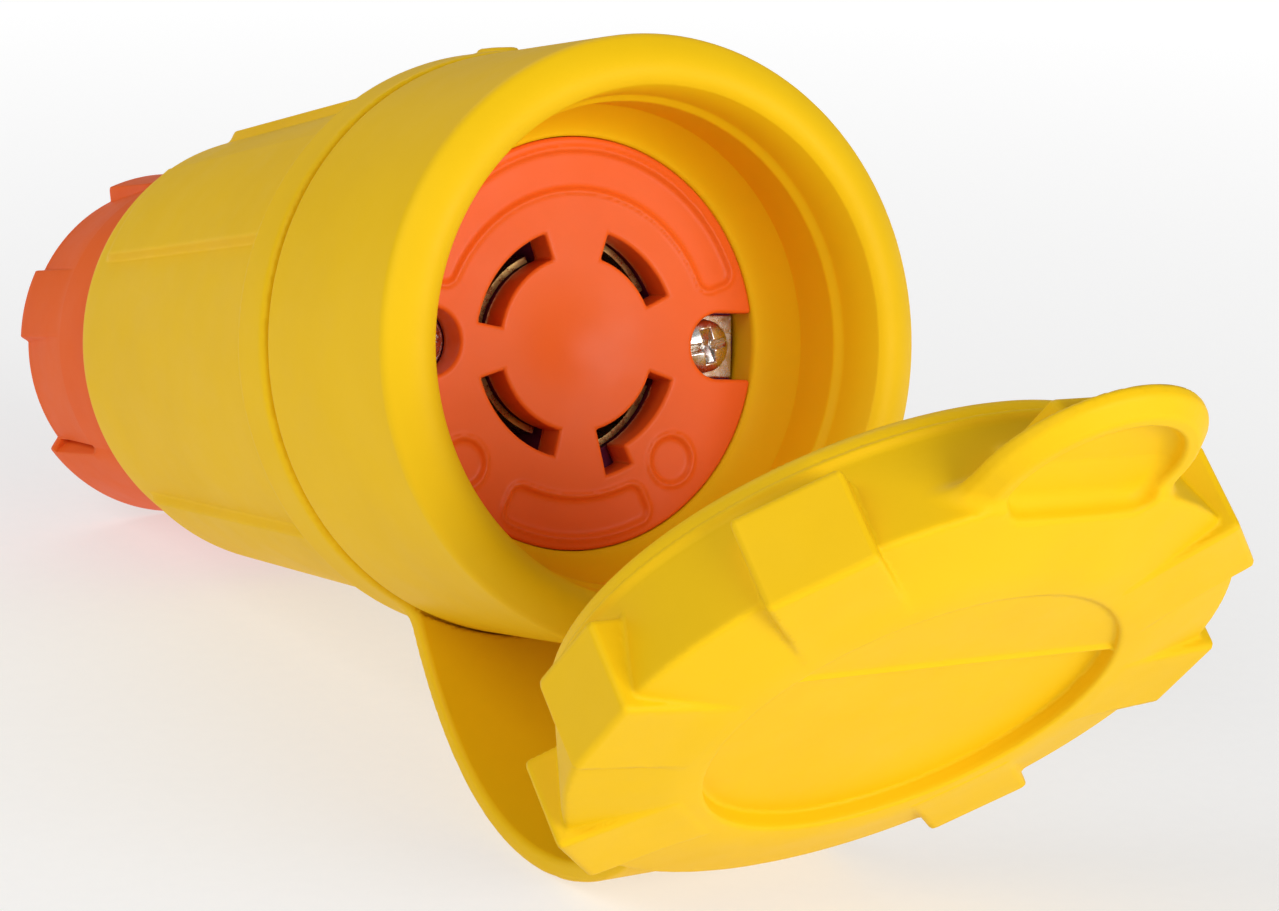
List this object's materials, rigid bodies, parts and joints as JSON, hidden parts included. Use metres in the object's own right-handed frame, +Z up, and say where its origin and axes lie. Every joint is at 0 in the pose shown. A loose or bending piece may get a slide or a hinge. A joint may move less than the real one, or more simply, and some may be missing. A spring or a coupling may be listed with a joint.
{
  "type": "watertight locking cord connector",
  "caption": "Watertight rubber cord connector with curved locking contacts in a deep round mouth, a ribbed cord-grip nut and a hinged closure cap on a strap.",
  "frame": {"origin": "centre of the bounding box, on the floor that the part lies on", "axes": "Z is up, the mouth faces -Y and leans up by the resting angle, X is across, to the right seen from the mouth"},
  "size_m": [0.0844, 0.2344, 0.0983],
  "materials": {
    "yellow_rubber": "satin moulded elastomer",
    "orange_nylon": "satin moulded nylon",
    "natural_nylon": "unpigmented moulded nylon",
    "dark_nylon": "dark moulded nylon",
    "brass": "plain rolled brass",
    "nickel": "nickel plate",
    "green_screw": "green dyed screw",
    "black_rubber": "matte black rubber"
  },
  "bodies": {
    "body": {"body_shell": "yellow_rubber", "strap_ring": "yellow_rubber", "contact_face": "orange_nylon", "contact_block": "dark_nylon", "contact_x": "brass", "contact_y": "brass", "contact_z": "brass", "contact_ground": "brass", "terminal_clamps": "brass", "terminal_screws": "brass", "ground_screw": "green_screw", "assembly_screws": "nickel", "threaded_inserts": "brass", "retainer_ring": "natural_nylon", "block_seal": "black_rubber", "gland_sleeve": "orange_nylon", "gland_gasket": "black_rubber", "cord_seal": "black_rubber"},
    "cap": {"closure_cap": "yellow_rubber"},
    "washer": {"slip_washer": "natural_nylon"},
    "nut": {"cord_grip_nut": "orange_nylon"}
  },
  "joints": [
    {"name": "cap_hinge", "type": "hinge", "parent": "body", "child": "cap", "pos_m": [0, -0.03532, 0.01466], "axis": [-1, 0, 0], "range_deg": [-19, 55.1], "stiffness_Nm_per_rad": 0.3, "springref_deg": 4.3, "deforming": ["strap_ring"]},
    {"name": "nut_travel", "type": "slide", "parent": "body", "child": "washer", "axis": [0, 0.9654, -0.2606], "range_m": [0, 0.0061]},
    {"name": "nut_turn", "type": "hinge", "parent": "washer", "child": "nut", "pos_m": [0, 0.09548, 0.02875], "axis": [0, 0.9654, -0.2606], "range_deg": [0, 720]}
  ],
  "couplings": [
    {"joint": "nut_travel", "follows": "nut_turn", "m_per_rad": 0.00047746}
  ]
}
